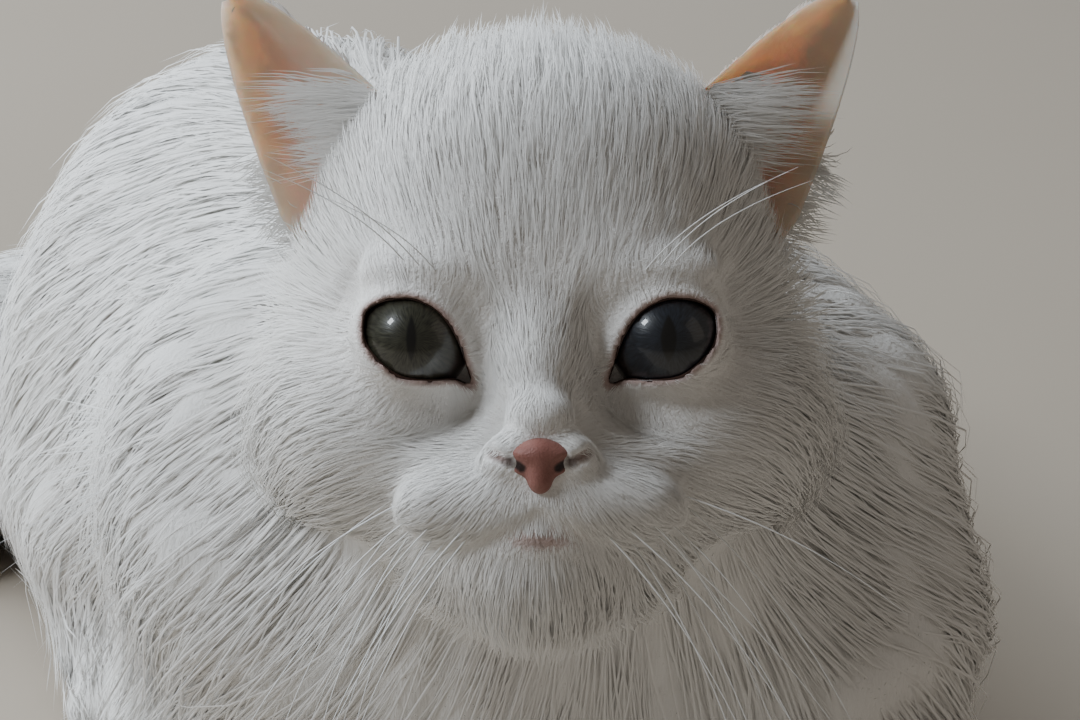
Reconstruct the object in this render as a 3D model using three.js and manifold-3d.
// A white long-haired cat of the Persian kind, life size, as a still museum figure. It lies on its chest with
// its head raised and turned a little to its right, forelegs forward, haunches folded and the tail laid round
// to the right.
// Millimetres, +Z up. The body lies along Y with the chest towards -Y, and +X is the cat's left.
//
// Flesh is described by distance fields: smooth unions of balls and tapers, measured to the dense undercoat.
// Each part of the body is wrapped in a closed surface, carries its own locks of long hair, and is cut clear
// of the parts placed before it, so that neighbours meet face to face.
import * as THREE from "three";
import { mergeVertices } from "three/addons/utils/BufferGeometryUtils.js";
import { MeshSurfaceSampler } from "three/addons/math/MeshSurfaceSampler.js";
import Module from "manifold-3d";

const wasm = await Module();
wasm.setup();

// Driving dimensions
const EYE_HEIGHT = 170;
const HEAD_TURN = 16;
const HEAD_RAISE = 22;
const HEAD_FORWARD = 166;
const HEAD_ASIDE = -22;
const SKULL_HALF_WIDTH = 52;
const EYE_SPREAD = 24.4;
const EYE_RADIUS = 11.2;
const LID_THICKNESS = 1.7;
const EAR_HEIGHT = 40;
const EAR_CUP = 12;
const CHEST_HALF_WIDTH = 66;
const BELLY_HALF_WIDTH = 69;
const BODY_TOP = 132;
const TRUNK_LENGTH = 290;
const TAIL_RADIUS = 20;
const GAP = 0.32;
const SEED = 21;

// Vectors and repeatable chance
const vec = (x, y, z) => new THREE.Vector3(x, y, z);
const mirrored = (v, side) => vec(v.x * side, v.y, v.z);
const bothSides = (make) => [make(-1), make(1)];
let chanceState = SEED;
function chance() {
  chanceState = (chanceState * 1664525 + 1013904223) % 4294967296;
  return chanceState / 4294967296;
}
const around = (middle, share) => middle * (1 + share * (2 * chance() - 1));

// Distance fields
function ball(centre, radii) {
  const scaled = vec(0, 0, 0);
  return (p) => {
    scaled.subVectors(p, centre).divide(radii);
    const inUnits = scaled.length();
    const steepness = scaled.divide(radii).length();
    return steepness ? (inUnits * (inUnits - 1)) / steepness : -Math.min(radii.x, radii.y, radii.z);
  };
}

function taper(from, fromRadius, to, toRadius) {
  const axis = vec(0, 0, 0).subVectors(to, from);
  const toPoint = vec(0, 0, 0);
  return (p) => {
    toPoint.subVectors(p, from);
    const share = THREE.MathUtils.clamp(toPoint.dot(axis) / axis.lengthSq(), 0, 1);
    return toPoint.addScaledVector(axis, -share).length() - THREE.MathUtils.lerp(fromRadius, toRadius, share);
  };
}

function smoothMin(a, b, reach) {
  const overlap = Math.max(reach - Math.abs(a - b), 0) / reach;
  return Math.min(a, b) - (overlap * overlap * reach) / 4;
}

const flesh = (reach, ...lumps) => (p) => lumps.reduce((near, lump) => smoothMin(near, lump(p), reach), 1e3);

function outward(field, p) {
  const step = 0.6;
  const moved = (dx, dy, dz) => field(vec(p.x + dx, p.y + dy, p.z + dz));
  const rise = (dx, dy, dz) => moved(dx, dy, dz) - moved(-dx, -dy, -dz);
  return vec(rise(step, 0, 0), rise(0, step, 0), rise(0, 0, step)).normalize();
}

// Moves a point along the field's slope until it lies at the given height over the surface.
function atHeight(field, p, height) {
  const placed = p.clone();
  for (let i = 0; i < 3; i++) placed.addScaledVector(outward(field, placed), height - field(placed));
  return placed;
}

// Head frame: origin between the corneas, face towards -Y, then raised and turned into place
const headPose = new THREE.Matrix4()
  .makeRotationZ(THREE.MathUtils.degToRad(-HEAD_TURN))
  .multiply(new THREE.Matrix4().makeRotationX(THREE.MathUtils.degToRad(-HEAD_RAISE)))
  .setPosition(HEAD_ASIDE, -HEAD_FORWARD, EYE_HEIGHT);
const toHead = headPose.clone().invert();
const fromHead = (x, y, z) => vec(x, y, z).applyMatrix4(headPose);

// The head: broad round skull, full cheeks, short muzzle under a marked stop
const headShape = flesh(
  9,
  ball(vec(0, 46, 15), vec(SKULL_HALF_WIDTH, 45, 49)),
  ball(vec(0, 19, 28), vec(36, 20, 29)),
  ball(vec(0, 5, -4), vec(9.5, 12, 17)),
  ball(vec(0, 1, -41), vec(14, 11, 9)),
  ball(vec(0, 26, -33), vec(33, 30, 20)),
  ...bothSides((side) => ball(vec(side * 31, 30, -12), vec(26, 28, 26))),
  ...bothSides((side) => ball(vec(side * 21, 9, 17), vec(17, 11, 9))),
  ...bothSides((side) => ball(vec(side * 12.5, -1.5, -27.5), vec(17, 13, 10.5))),
);
const noseShape = flesh(
  2.5,
  ball(vec(0, -10.5, -18.2), vec(5.2, 4.6, 3.8)),
  ball(vec(0, -11.5, -22), vec(2.8, 3.2, 2.8)),
  ...bothSides((side) => ball(vec(side * 4.4, -10, -19), vec(3.2, 3.8, 2.9))),
);

// Trunk, neck, legs and tail, in the body's frame
const trunkShape = flesh(
  26,
  ball(vec(0, -42, BODY_TOP - 62), vec(CHEST_HALF_WIDTH, 0.29 * TRUNK_LENGTH, 62)),
  ball(vec(-2, 50, 66), vec(BELLY_HALF_WIDTH, 0.34 * TRUNK_LENGTH, 67.5)),
  ball(vec(-8, 128, 68), vec(62, 64, 62)),
);
const neckShape = flesh(
  14,
  taper(vec(0, -58, 84), 50, fromHead(0, 54, -8), 43),
  ball(vec(-3, -70, 96), vec(70, 48, 52)),
);
const elbow = vec(61, -52, 25);
const forelegShape = (side) =>
  flesh(
    12,
    taper(mirrored(vec(46, -58, 74), side), 30, mirrored(elbow, side), 24),
    taper(mirrored(elbow, side), 22, vec(side * 42, -146, 17), 15),
  );
const hindlegShape = (side) =>
  flesh(
    18,
    ball(vec(side * 50, 98, 54), vec(34, 58, 55)),
    taper(vec(side * 68, 52, 34), 20, vec(side * 64, 148, 22), 18),
  );

// A paw is a palm with four toes spread in front of it, on the floor.
function pawLumps(palm, palmRadii, toeRadius) {
  const toes = [-1.5, -0.5, 0.5, 1.5].map((place) => {
    const back = Math.abs(place) * 0.3 * toeRadius;
    const centre = vec(palm.x + place * 1.25 * toeRadius, palm.y - 0.7 * palmRadii.y + back, toeRadius);
    return { centre, radii: vec(toeRadius, toeRadius * 1.5, toeRadius * 1.1) };
  });
  return [{ centre: palm, radii: palmRadii }, ...toes];
}
const forepawLumps = (side) => pawLumps(vec(side * 39, -164, 12.5), vec(17, 22, 14), 7.4);
const hindpawLumps = (side) => pawLumps(vec(side * 78, 38, 11.5), vec(15, 34, 12.5), 6.6);
const pawShape = (lumps) => flesh(3, ...lumps.map(({ centre, radii }) => ball(centre, radii)));

const lying = TAIL_RADIUS - 1;
const tailPath = [
  vec(-9, 150, 62),
  vec(-15, 203, 44),
  vec(-38, 234, 26),
  vec(-78, 243, lying),
  vec(-112, 220, lying),
  vec(-127, 179, lying),
  vec(-131, 140, lying - 3),
];
const tailCurve = new THREE.CatmullRomCurve3(tailPath);
const tailThickness = (share) => TAIL_RADIUS * (1 - 0.25 * Math.max(0, share - 0.75) * 4);
const tailBeads = 14;
const tailShape = flesh(
  6,
  ...Array.from({ length: tailBeads }, (_, i) => {
    const [start, end] = [i / tailBeads, (i + 1) / tailBeads];
    const [from, to] = [tailCurve.getPointAt(start), tailCurve.getPointAt(end)];
    return taper(from, tailThickness(start), to, tailThickness(end));
  }),
);

const shapes = {
  head: (p) => headShape(p.clone().applyMatrix4(toHead)),
  neck: neckShape,
  torso: trunkShape,
  foreleg_right: forelegShape(-1),
  foreleg_left: forelegShape(1),
  hindleg_right: hindlegShape(-1),
  hindleg_left: hindlegShape(1),
  forepaw_right: pawShape(forepawLumps(-1)),
  forepaw_left: pawShape(forepawLumps(1)),
  hindpaw_right: pawShape(hindpawLumps(-1)),
  hindpaw_left: pawShape(hindpawLumps(1)),
  tail: tailShape,
};
const wholeBody = flesh(8, ...Object.values(shapes));

// Closed surfaces
// Rings of points, closed at each end by a fan to one point
function closedTube(rings, firstPole, lastPole) {
  const round = rings[0].length;
  const points = [firstPole, ...rings.flat(), lastPole];
  const index = [];
  const at = (ring, j) => 1 + ring * round + (j % round);
  for (let j = 0; j < round; j++) {
    index.push(0, at(0, j + 1), at(0, j));
    index.push(points.length - 1, at(rings.length - 1, j), at(rings.length - 1, j + 1));
  }
  for (let i = 0; i + 1 < rings.length; i++)
    for (let j = 0; j < round; j++) {
      index.push(at(i, j), at(i, j + 1), at(i + 1, j));
      index.push(at(i, j + 1), at(i + 1, j + 1), at(i + 1, j));
    }
  return new THREE.BufferGeometry().setFromPoints(points).setIndex(index);
}

// A sheet with a front and a back, each a grid of points of the same size, joined along its border
function closedSheet(front, back) {
  const [rows, columns] = [front.length, front[0].length];
  const index = [];
  const at = (face, i, j) => face * rows * columns + i * columns + j;
  const quad = (a, b, c, d) => index.push(a, b, c, c, b, d);
  for (let i = 0; i + 1 < rows; i++)
    for (let j = 0; j + 1 < columns; j++) {
      quad(at(0, i, j), at(0, i, j + 1), at(0, i + 1, j), at(0, i + 1, j + 1));
      quad(at(1, i, j + 1), at(1, i, j), at(1, i + 1, j + 1), at(1, i + 1, j));
    }
  for (let i = 0; i + 1 < rows; i++) {
    quad(at(1, i, 0), at(0, i, 0), at(1, i + 1, 0), at(0, i + 1, 0));
    const edge = columns - 1;
    quad(at(0, i, edge), at(1, i, edge), at(0, i + 1, edge), at(1, i + 1, edge));
  }
  for (let j = 0; j + 1 < columns; j++) {
    const edge = rows - 1;
    quad(at(1, 0, j), at(1, 0, j + 1), at(0, 0, j), at(0, 0, j + 1));
    quad(at(0, edge, j), at(0, edge, j + 1), at(1, edge, j), at(1, edge, j + 1));
  }
  return new THREE.BufferGeometry().setFromPoints([...front.flat(), ...back.flat()]).setIndex(index);
}

// A surface wrapped round a spine: rays leave the spine on all sides and stop where the field reaches the level.
const FARTHEST = 220;
const STRIDE = 3;
const HALVINGS = 16;
function reach(field, from, direction, level) {
  const outside = (t) => field(from.clone().addScaledVector(direction, t)) > level;
  let far = 0;
  while (!outside(far) && far < FARTHEST) far += STRIDE;
  let near = Math.max(0, far - STRIDE);
  for (let i = 0; i < HALVINGS; i++) {
    const middle = (near + far) / 2;
    if (outside(middle)) far = middle;
    else near = middle;
  }
  return from.clone().addScaledVector(direction, far);
}

function wrap(field, spinePoints, { round, along, frontCap, rearCap }, level = 0) {
  const spine = new THREE.CatmullRomCurve3(spinePoints);
  const frames = spine.computeFrenetFrames(along, false);
  const leans = [];
  for (let i = 1; i <= frontCap; i++) leans.push([0, -90 * (1 - i / frontCap)]);
  for (let i = 1; i < along; i++) leans.push([i, 0]);
  for (let i = 0; i < rearCap; i++) leans.push([along, 90 * (i / rearCap)]);
  const rings = leans.map(([station, degrees]) => {
    const lean = THREE.MathUtils.degToRad(degrees);
    const from = spine.getPointAt(station / along);
    return Array.from({ length: round }, (_, j) => {
      const turn = (2 * Math.PI * j) / round;
      const direction = frames.normals[station].clone().multiplyScalar(Math.cos(turn));
      direction.addScaledVector(frames.binormals[station], Math.sin(turn)).multiplyScalar(Math.cos(lean));
      direction.addScaledVector(frames.tangents[station], Math.sin(lean)).normalize();
      return reach(field, from, direction, level);
    });
  });
  // A cap of one ring is flat.
  const pole = (station, sign, cap) => {
    const from = spine.getPointAt(station / along);
    const direction = frames.tangents[station].clone().multiplyScalar(sign);
    return cap > 1 ? reach(field, from, direction, level) : from;
  };
  return closedTube(rings, pole(0, -1, frontCap), pole(along, 1, rearCap));
}

// Geometry to solid and back
function solidOf(geometry) {
  const bare = new THREE.BufferGeometry();
  const loose = geometry.index ? geometry.toNonIndexed() : geometry;
  bare.setAttribute("position", loose.getAttribute("position"));
  const merged = mergeVertices(bare, 1e-3);
  const numbers = merged.attributes.position.array;
  const corners = merged.index.array;
  const made = (order) =>
    new wasm.Manifold(new wasm.Mesh({ numProp: 3, vertProperties: numbers, triVerts: new Uint32Array(order) }));
  const solid = made(corners);
  // A mirrored surface faces inwards, and is turned round.
  return solid.volume() > 0 ? solid : made(corners.toReversed());
}

function geometryOf(solid) {
  const { numProp, vertProperties, triVerts } = solid.getMesh();
  const positions = new Float32Array((vertProperties.length / numProp) * 3);
  for (let i = 0; i * numProp < vertProperties.length; i++)
    positions.set(vertProperties.subarray(i * numProp, i * numProp + 3), i * 3);
  const geometry = new THREE.BufferGeometry();
  geometry.setAttribute("position", new THREE.BufferAttribute(positions, 3));
  return geometry.setIndex(new THREE.BufferAttribute(new Uint32Array(triVerts), 1));
}

const joined = (solids) => wasm.Manifold.union(solids);
const without = (solid, cutters) => cutters.reduce((rest, cutter) => rest.subtract(cutter), solid);
// A thin piece grown by the gap: copies of it moved a little each way
const thickened = (solid) =>
  [vec(1, 0, 0), vec(0, 1, 0), vec(0, 0, 1)].reduce(
    (grown, way) =>
      joined([-GAP, GAP].map((by) => solidOf(geometryOf(grown).translate(by * way.x, by * way.y, by * way.z)))),
    solid,
  );
const inPlace = (solid) => solidOf(geometryOf(solid).applyMatrix4(headPose));
const largest = (solid) => solid.decompose().sort((a, b) => b.volume() - a.volume())[0];

// Locks of hair
// A lock is a flat taper along its stations. It leaves its root inside the undercoat and lifts towards its tip.
const LOCK_SHARES = [0.75, 1, 0.62];

function lockGeometry(stations, width, thickness, grow = 0) {
  const rings = LOCK_SHARES.map((share, i) => {
    const { place, up, onward } = stations[i];
    const side = vec(0, 0, 0).crossVectors(up, onward).normalize();
    const halfWidth = 0.5 * width * share + grow;
    const halfThickness = 0.5 * thickness * Math.sqrt(share) + grow;
    return [
      place.clone().addScaledVector(side, -halfWidth),
      place.clone().addScaledVector(up, -halfThickness),
      place.clone().addScaledVector(side, halfWidth),
      place.clone().addScaledVector(up, halfThickness),
    ];
  });
  const [first, last] = [stations[0], stations[LOCK_SHARES.length]];
  const root = first.place.clone().addScaledVector(first.onward, -0.1 * width - grow);
  const tip = last.place.clone().addScaledVector(last.onward, 2 * grow);
  return closedTube(rings, root, tip);
}

function laidOver(field, root, lie, { length, lift, sink }, bend) {
  const steps = LOCK_SHARES.length;
  const stations = [];
  let place = root.clone();
  for (let i = 0; i <= steps; i++) {
    const share = i / steps;
    place = atHeight(field, place, THREE.MathUtils.lerp(-sink, lift, Math.pow(share, 0.8)));
    const up = outward(field, place);
    const onward = lie(place).projectOnPlane(up).normalize();
    onward.applyAxisAngle(up, bend * (share - 0.3));
    stations.push({ place: place.clone(), up, onward });
    place.addScaledVector(onward, length / steps);
    if (field === wholeBody) place.z = Math.max(place.z, 3);
  }
  return stations;
}

// A lock that turns sharply between stations would cross itself.
const SHARPEST_BEND = 0.6;
const SHARPEST_TILT = 0.5;
const folded = (stations) =>
  stations.some(({ onward, up }, i) => {
    const next = stations[Math.min(i + 1, stations.length - 1)];
    return onward.dot(next.onward) < SHARPEST_BEND || up.dot(next.up) < SHARPEST_TILT;
  });

// Grows spaced locks on a surface. Each has a slightly larger copy, which keeps other parts clear of it.
const TRIES = 900;
function growLocks(surface, others, coat, field = wholeBody) {
  const skin = new THREE.Mesh(surface.toNonIndexed());
  const sampler = new MeshSurfaceSampler(skin).setRandomGenerator(chance).build();
  const roots = [];
  const grown = [];
  for (let tries = 0; tries < TRIES; tries++) {
    const root = vec(0, 0, 0);
    sampler.sample(root);
    if (others.some((shape) => shape(root) < coat.margin) || !coat.where(root)) continue;
    if (roots.some((other) => other.distanceTo(root) < coat.spacing)) continue;
    roots.push(root);
    const length = around(coat.length(root), 0.12);
    const lift = around(coat.lift(root), 0.12);
    const size = { length, lift, sink: coat.sink };
    const stations = laidOver(field, root, coat.lie, size, 0.9 * (2 * chance() - 1));
    const width = around(coat.width, 0.15);
    if (folded(stations)) continue;
    grown.push([GAP, 0].map((grow) => solidOf(lockGeometry(stations, width, coat.thickness, grow))));
  }
  return { guards: grown.map(([guard]) => guard), locks: grown.map(([, lock]) => lock) };
}

// Materials
const finish = (color, roughness) => new THREE.MeshStandardMaterial({ color, roughness, metalness: 0 });
const finishes = {
  coat: finish("#eceae6", 0.85),
  ear: finish("#e8cfc2", 0.75),
  nose: finish("#cc8a7e", 0.5),
  greenEye: finish("#596050", 0.08),
  blueEye: finish("#4b5665", 0.08),
};

// The figure is gathered node by node. The space taken so far, with the floor, is cut from each new part.
const figure = new THREE.Group();
const floorBlock = { side: 1200, depth: 200 };
let taken = solidOf(
  new THREE.BoxGeometry(floorBlock.side, floorBlock.side, floorBlock.depth).translate(0, 0, -0.5 * floorBlock.depth),
);

function place(name, solid, material, ownGuards) {
  const clear = largest(solid.subtract(taken));
  const node = new THREE.Mesh(geometryOf(clear), material);
  node.name = name;
  figure.add(node);
  taken = joined([taken, ...ownGuards]);
}

// Eyes: round, the cornea just proud of the lids
const eyeCentre = (side) => vec(side * EYE_SPREAD, EYE_RADIUS - 1.2, 4);
function eyeSolid(side, grow) {
  const rings = 9;
  const profile = Array.from({ length: rings + 1 }, (_, i) => {
    const turn = Math.PI * Math.pow(i / rings, 1.2);
    return new THREE.Vector2((EYE_RADIUS + grow) * Math.sin(turn), -(EYE_RADIUS + grow) * Math.cos(turn));
  });
  const centre = eyeCentre(side);
  return solidOf(new THREE.LatheGeometry(profile, 16).translate(centre.x, centre.y, centre.z));
}
for (const side of [-1, 1]) {
  const [name, material] = side < 0 ? ["eye_right", finishes.greenEye] : ["eye_left", finishes.blueEye];
  place(name, inPlace(eyeSolid(side, 0)), material, [inPlace(eyeSolid(side, GAP))]);
}

// Nose leather: broad between the nostrils, narrow below, with a slit curving out of each nostril
const noseSpine = [vec(0, -9.5, -18.5), vec(0, -9.5, -19.5)];
const noseRings = { round: 12, along: 1, frontCap: 4, rearCap: 2 };
const noseSolid = (level) => solidOf(wrap(noseShape, noseSpine, noseRings, level));

// A groove is a lock's shape laid on the surface and cut away.
function groove(field, points, width, depth) {
  const curve = new THREE.CatmullRomCurve3(points.map((p) => atHeight(field, p, 0)));
  const stations = Array.from({ length: LOCK_SHARES.length + 1 }, (_, i) => {
    const share = i / LOCK_SHARES.length;
    const spot = atHeight(field, curve.getPointAt(share), 0);
    return { place: spot, up: outward(field, spot), onward: curve.getTangentAt(share) };
  });
  return solidOf(lockGeometry(stations, width, depth * 2));
}
const nostrilLine = (side) => [vec(side * 2.4, -15, -20), vec(side * 4.6, -14, -19.8), vec(side * 7, -11, -17.6)];
const nostrils = bothSides((side) => groove(noseShape, nostrilLine(side), 2.2, 1.4));
place("nose", inPlace(without(noseSolid(0), nostrils)), finishes.nose, [inPlace(noseSolid(GAP))]);

// Head: lids stand round each eye as part of a shell, and the line of the mouth is cut under the muzzle.
const headSpine = [vec(0, 14, -8), vec(0, 50, 12)];
const headRings = { round: 28, along: 4, frontCap: 11, rearCap: 3 };
const lidShell = (side, grow) => {
  const centre = eyeCentre(side);
  const shell = new THREE.IcosahedronGeometry(EYE_RADIUS + LID_THICKNESS + grow, 3);
  return solidOf(shell.translate(centre.x, centre.y, centre.z));
};
// The opening between the lids, seen from in front: outer corner high, inner corner low by the nose
function lidOpening(side) {
  const outline = new THREE.Shape();
  outline.moveTo(side * 9.6, 4);
  outline.bezierCurveTo(side * 8, 10, side * -7.5, 10, side * -10.2, -6.8);
  outline.bezierCurveTo(side * -4.5, -9.4, side * 8.5, -9.4, side * 9.6, 4);
  const cutter = new THREE.ExtrudeGeometry(outline, { depth: 24, bevelEnabled: false, curveSegments: 7 });
  const centre = eyeCentre(side);
  return solidOf(cutter.rotateX(Math.PI / 2).translate(centre.x, centre.y, centre.z));
}
const mouth = [
  groove(headShape, [vec(0, -15, -24), vec(0, -14, -27), vec(0, -13, -30.5)], 1.8, 1.6),
  ...bothSides((side) =>
    groove(
      headShape,
      [vec(0, -13, -30), vec(side * 6, -12, -33), vec(side * 13, -9, -36), vec(side * 21, 2, -38)],
      2.4,
      2.4,
    ),
  ),
];
const headSurface = wrap(headShape, headSpine, headRings);
const cheekCoat = {
  spacing: 25,
  length: () => 36,
  width: 22,
  thickness: 4,
  sink: 4,
  margin: 0,
  lift: () => 8,
  where: (p) => Math.abs(p.x) > 36 && p.y > 12 && p.y < 52 && p.z < 16 && p.z > -34,
  lie: (p) => vec(0.012 * p.x, 0.35, -0.75),
};
const cheeks = growLocks(headSurface, [], cheekCoat, headShape);
const headCore = joined([solidOf(headSurface), ...bothSides((side) => lidShell(side, 0)), ...cheeks.locks]);
const headCuts = [...bothSides(lidOpening), ...mouth];
const headGuards = [
  solidOf(wrap(headShape, headSpine, headRings, GAP)),
  ...bothSides((side) => lidShell(side, GAP)),
  ...cheeks.guards,
];
place("head", inPlace(without(headCore, headCuts)), finishes.coat, headGuards.map(inPlace));

// Ears: small cups set low and wide, open to the front, furnished with locks that rise from the inner edge
const earBase = vec(42, 40, 41);
const earTip = earBase.clone().addScaledVector(vec(22, -2, 33.5).normalize(), EAR_HEIGHT);
const earAcross = vec(11, 3.5, -11.8).normalize();
const earHalfWidth = 16.5;
const earBack = vec(-0.15, 1, 0.1).normalize();
function earSurface(side) {
  const axis = earTip.clone().sub(earBase);
  const rows = [-0.35, 0, 0.25, 0.48, 0.66, 0.8, 0.9, 0.97];
  const columns = [-1, -0.7, -0.4, 0, 0.4, 0.7, 1];
  const grid = (face) =>
    rows.map((u) =>
      columns.map((v) => {
        const narrowing = Math.pow(Math.min(1, 1 - u), 0.74);
        const point = earBase.clone().addScaledVector(axis, u);
        point.addScaledVector(earAcross, v * narrowing * earHalfWidth);
        const cup = EAR_CUP * (1 - v * v) * Math.min(1, 0.25 + narrowing);
        const thickness = THREE.MathUtils.lerp(2.6, 1.5, Math.max(0, u));
        point.addScaledVector(earBack, cup + (face - 0.5) * thickness);
        return mirrored(point, side);
      }),
    );
  return solidOf(closedSheet(grid(0), grid(1)));
}
const furnishings = (side) =>
  [0, 0.25].map((u) => {
    const root = earBase.clone().lerp(earTip, u).addScaledVector(earAcross, -0.8 * earHalfWidth);
    const bend = root.clone().add(vec(9, -3 + 6 * u, 7));
    const tip = root.clone().add(vec(27 - 10 * u, -5, 6));
    const curve = new THREE.CatmullRomCurve3([root.clone().add(vec(-2, 3, -1)), bend, tip]);
    const stations = Array.from({ length: LOCK_SHARES.length + 1 }, (_, i) => {
      const share = i / LOCK_SHARES.length;
      const onward = mirrored(curve.getTangentAt(share), side);
      const up = vec(0, -1, 0).projectOnPlane(onward).normalize();
      return { place: mirrored(curve.getPointAt(share), side), up, onward };
    });
    return solidOf(lockGeometry(stations, 8, 2.4));
  });
for (const side of [-1, 1]) {
  const ear = inPlace(joined([earSurface(side), ...furnishings(side)]));
  place(side < 0 ? "ear_right" : "ear_left", ear, finishes.ear, [thickened(ear)]);
}

// Paws: short fur only, so the toes show
for (const side of [-1, 1]) {
  const suffix = side < 0 ? "_right" : "_left";
  const paws = { forepaw: forepawLumps(side), hindpaw: hindpawLumps(side) };
  for (const [name, lumps] of Object.entries(paws)) {
    const solids = (grow) =>
      lumps.map(({ centre, radii }, i) => {
        const rounded = i ? new THREE.SphereGeometry(1, 8, 5) : new THREE.SphereGeometry(1, 10, 7);
        const size = radii.clone().addScalar(grow);
        return solidOf(rounded.scale(size.x, size.y, size.z).translate(centre.x, centre.y, centre.z));
      });
    place(name + suffix, joined(solids(0)), finishes.coat, solids(GAP));
  }
}

// A part of the body with its coat: the plain undercoat, its locks, and guards for both
function placeCoated(name, spine, rings, coat) {
  const shape = shapes[name.startsWith("tail") ? "tail" : name];
  const core = wrap(shape, spine, rings);
  const others = Object.values(shapes).filter((other) => other !== shape);
  const { locks, guards: lockGuards } = growLocks(core, others, coat);
  const guard = solidOf(wrap(shape, spine, rings, GAP));
  place(name, joined([solidOf(core), ...locks]), finishes.coat, [guard, ...lockGuards]);
}

// The ruff stands out behind the face and is short beside it.
const ruffLift = (p) => 30 * THREE.MathUtils.smoothstep(p.clone().applyMatrix4(toHead).y, 5, 50);

// How the coat lies: along the back and down the flanks, down the chest, away from the face round the ruff
const bodyLie = (p) => vec(0.01 * p.x, 0.75, -0.6);
const ruffLie = (p) => vec(0.008 * (p.x + 10), 0.4, -0.8);
const legLie = (p) => vec(0, 0.5, -0.8);
const offFloor = (p) => p.z > 9;
const longCoat = { thickness: 5.5, sink: 6, margin: 2, where: offFloor };

placeCoated("neck", [vec(0, -62, 90), fromHead(0, 52, -10)], { round: 22, along: 4, frontCap: 3, rearCap: 3 }, {
  ...longCoat,
  spacing: 25,
  length: (p) => 60 + 30 * THREE.MathUtils.smoothstep(-p.y, 90, 120),
  width: 31,
  lift: ruffLift,
  lie: ruffLie,
});
placeCoated(
  "torso",
  [vec(0, -70, 68), vec(-1, 0, 66), vec(-3, 70, 66), vec(-7, 135, 68)],
  { round: 22, along: 8, frontCap: 3, rearCap: 4 },
  { ...longCoat, spacing: 40, length: () => 82, width: 43, lift: () => 25, lie: bodyLie },
);
for (const side of [-1, 1]) {
  const suffix = side < 0 ? "_right" : "_left";
  placeCoated(
    "foreleg" + suffix,
    [vec(side * 56, -44, 34), vec(side * 43, -140, 17)],
    { round: 12, along: 6, frontCap: 3, rearCap: 2 },
    { ...longCoat, spacing: 42, length: () => 52, width: 32, thickness: 4.5, lift: () => 12, lie: legLie },
  );
  placeCoated(
    "hindleg" + suffix,
    [vec(side * 60, 68, 40), vec(side * 54, 128, 46)],
    { round: 16, along: 4, frontCap: 4, rearCap: 4 },
    { ...longCoat, spacing: 41, length: () => 68, width: 40, lift: () => 21, lie: legLie },
  );
}

// Tail in four lengths, laid on the floor round the right haunch
const tailSpan = (from, to) =>
  [0, 0.25, 0.5, 0.75, 1].map((share) => tailCurve.getPointAt(THREE.MathUtils.lerp(from, to, share)));
const tailLie = (p) => {
  const nearest = Array.from({ length: 41 }, (_, i) => i / 40).reduce((best, t) =>
    tailCurve.getPointAt(t).distanceTo(p) < tailCurve.getPointAt(best).distanceTo(p) ? t : best,
  );
  return tailCurve.getTangentAt(nearest).addScaledVector(vec(0, 0, -1), 0.3);
};
for (const [name, from, to] of [
  ["tail_base", 0, 0.3],
  ["tail_bend", 0.3, 0.54],
  ["tail_middle", 0.54, 0.77],
  ["tail_tip", 0.77, 1],
]) {
  const rings = { round: 10, along: 4, frontCap: 1, rearCap: to < 1 ? 1 : 4 };
  placeCoated(name, tailSpan(from, to), rings, {
    ...longCoat,
    spacing: 44,
    length: () => 62,
    width: 33,
    lift: () => 15,
    lie: tailLie,
  });
}

// The origin is on the floor, under the middle of the whole figure. A crumb that rounding parts is dropped.
const extent = new THREE.Box3().setFromObject(figure);
const middle = extent.getCenter(vec(0, 0, 0));
for (const node of figure.children) {
  node.geometry.translate(-middle.x, -middle.y, -extent.min.z);
  for (let pass = 0; pass < 2; pass++) node.geometry = geometryOf(largest(solidOf(node.geometry)));
}

export default figure;
